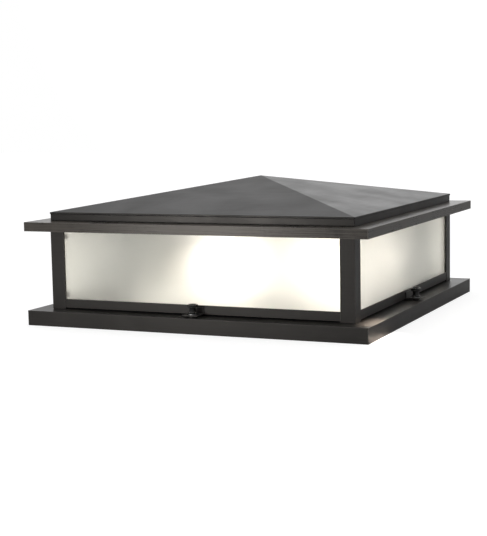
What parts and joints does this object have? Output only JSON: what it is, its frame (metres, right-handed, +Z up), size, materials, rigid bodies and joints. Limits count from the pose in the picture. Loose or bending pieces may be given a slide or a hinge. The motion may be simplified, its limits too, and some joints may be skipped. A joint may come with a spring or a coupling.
{
  "type": "bollard light",
  "caption": "Low square pier-top light: a folded base pan, a frosted glass lantern under a wide top frame and a shallow hip roof, held down by thumb screws, with horizontal lamps inside.",
  "frame": {"origin": "centre of the base pan's underside", "axes": "+Z up, -Y towards the front side, +X to the right seen from the front"},
  "size_m": [0.4586, 0.4586, 0.18],
  "materials": {
    "bronze_finish": "satin dark bronze with faint brushing",
    "white_enamel": "gloss white",
    "black_rubber": "matte",
    "zinc_steel": "zinc plated",
    "porcelain": "glazed",
    "brass": "satin",
    "white_plastic": "matte",
    "lead_insulation": "satin",
    "green_insulation": "satin",
    "frosted_glass": "etched, softly frosted",
    "dark_clip": "satin dark bronze",
    "pad_rubber": "matte",
    "black_screw": "gloss dark bronze",
    "lamp_glass": "frosted, lit",
    "filament": "bright"
  },
  "bodies": {
    "base": {"base_pan": "bronze_finish", "reflector_plate": "white_enamel", "cable_grommet": "black_rubber", "weld_nuts": "zinc_steel", "spacer_rings": "bronze_finish", "base_screws": "zinc_steel", "lantern_seal": "pad_rubber", "bracket_front": "zinc_steel", "bracket_back": "zinc_steel", "socket_front": "porcelain", "socket_back": "porcelain", "socket_shell_front": "brass", "socket_shell_back": "brass", "socket_contacts": "brass", "socket_screws": "zinc_steel", "terminal_block": "white_plastic", "terminal_screws": "brass", "leads_front": "lead_insulation", "leads_back": "lead_insulation", "ground_lead": "green_insulation", "ground_lug": "brass"},
    "lantern": {"post_front_right": "bronze_finish", "post_back_right": "bronze_finish", "post_back_left": "bronze_finish", "post_front_left": "bronze_finish", "rail_front": "bronze_finish", "rail_right": "bronze_finish", "rail_back": "bronze_finish", "rail_left": "bronze_finish", "lug_front": "bronze_finish", "lug_right": "bronze_finish", "lug_back": "bronze_finish", "lug_left": "bronze_finish", "top_frame_front": "bronze_finish", "top_frame_right": "bronze_finish", "top_frame_back": "bronze_finish", "top_frame_left": "bronze_finish", "glass_front": "frosted_glass", "glass_right": "frosted_glass", "glass_back": "frosted_glass", "glass_left": "frosted_glass", "glass_clips": "dark_clip", "glass_pads": "pad_rubber", "roof": "bronze_finish", "roof_brackets": "zinc_steel", "roof_rivets": "zinc_steel"},
    "screw_travel_front": {"washer_front": "zinc_steel"},
    "thumb_screw_front": {"thumb_screw_front": "black_screw"},
    "screw_travel_right": {"washer_right": "zinc_steel"},
    "thumb_screw_right": {"thumb_screw_right": "black_screw"},
    "screw_travel_back": {"washer_back": "zinc_steel"},
    "thumb_screw_back": {"thumb_screw_back": "black_screw"},
    "screw_travel_left": {"washer_left": "zinc_steel"},
    "thumb_screw_left": {"thumb_screw_left": "black_screw"},
    "lamp_travel_front": {"lamp_cap_front": "brass"},
    "lamp_front": {"lamp_globe_front": "lamp_glass", "lamp_mount_front": "filament"},
    "lamp_travel_back": {"lamp_cap_back": "brass"},
    "lamp_back": {"lamp_globe_back": "lamp_glass", "lamp_mount_back": "filament"}
  },
  "joints": [
    {"name": "lantern_lift", "type": "slide", "parent": "base", "child": "lantern", "axis": [0, 0, 1], "range_m": [0, 0.12]},
    {"name": "screw_travel_front", "type": "slide", "parent": "lantern", "child": "screw_travel_front", "axis": [0, 0, 1], "range_m": [0, 0.00476]},
    {"name": "screw_turn_front", "type": "hinge", "parent": "screw_travel_front", "child": "thumb_screw_front", "pos_m": [0, -0.21605, 0.03], "axis": [0, 0, 1], "range_deg": [0, 2161]},
    {"name": "screw_travel_right", "type": "slide", "parent": "lantern", "child": "screw_travel_right", "axis": [0, 0, 1], "range_m": [0, 0.00476]},
    {"name": "screw_turn_right", "type": "hinge", "parent": "screw_travel_right", "child": "thumb_screw_right", "pos_m": [0.21605, 0, 0.03], "axis": [0, 0, 1], "range_deg": [0, 2161]},
    {"name": "screw_travel_back", "type": "slide", "parent": "lantern", "child": "screw_travel_back", "axis": [0, 0, 1], "range_m": [0, 0.00476]},
    {"name": "screw_turn_back", "type": "hinge", "parent": "screw_travel_back", "child": "thumb_screw_back", "pos_m": [0, 0.21605, 0.03], "axis": [0, 0, 1], "range_deg": [0, 2161]},
    {"name": "screw_travel_left", "type": "slide", "parent": "lantern", "child": "screw_travel_left", "axis": [0, 0, 1], "range_m": [0, 0.00476]},
    {"name": "screw_turn_left", "type": "hinge", "parent": "screw_travel_left", "child": "thumb_screw_left", "pos_m": [-0.21605, 0, 0.03], "axis": [0, 0, 1], "range_deg": [0, 2161]},
    {"name": "lamp_travel_front", "type": "slide", "parent": "base", "child": "lamp_travel_front", "axis": [1, 0, 0], "range_m": [0, 0.01815]},
    {"name": "lamp_turn_front", "type": "hinge", "parent": "lamp_travel_front", "child": "lamp_front", "pos_m": [-0.068, -0.06, 0.07], "axis": [1, 0, 0], "range_deg": [0, 1801]},
    {"name": "lamp_travel_back", "type": "slide", "parent": "base", "child": "lamp_travel_back", "axis": [1, 0, 0], "range_m": [0, 0.01815]},
    {"name": "lamp_turn_back", "type": "hinge", "parent": "lamp_travel_back", "child": "lamp_back", "pos_m": [0.048, 0.06, 0.07], "axis": [1, 0, 0], "range_deg": [0, 1801]}
  ],
  "couplings": [
    {"joint": "screw_turn_front", "follows": "screw_travel_front", "rad_per_m": 7915.8},
    {"joint": "screw_turn_right", "follows": "screw_travel_right", "rad_per_m": 7915.8},
    {"joint": "screw_turn_back", "follows": "screw_travel_back", "rad_per_m": 7915.8},
    {"joint": "screw_turn_left", "follows": "screw_travel_left", "rad_per_m": 7915.8},
    {"joint": "lamp_turn_front", "follows": "lamp_travel_front", "rad_per_m": 1730.9},
    {"joint": "lamp_turn_back", "follows": "lamp_travel_back", "rad_per_m": 1730.9}
  ]
}
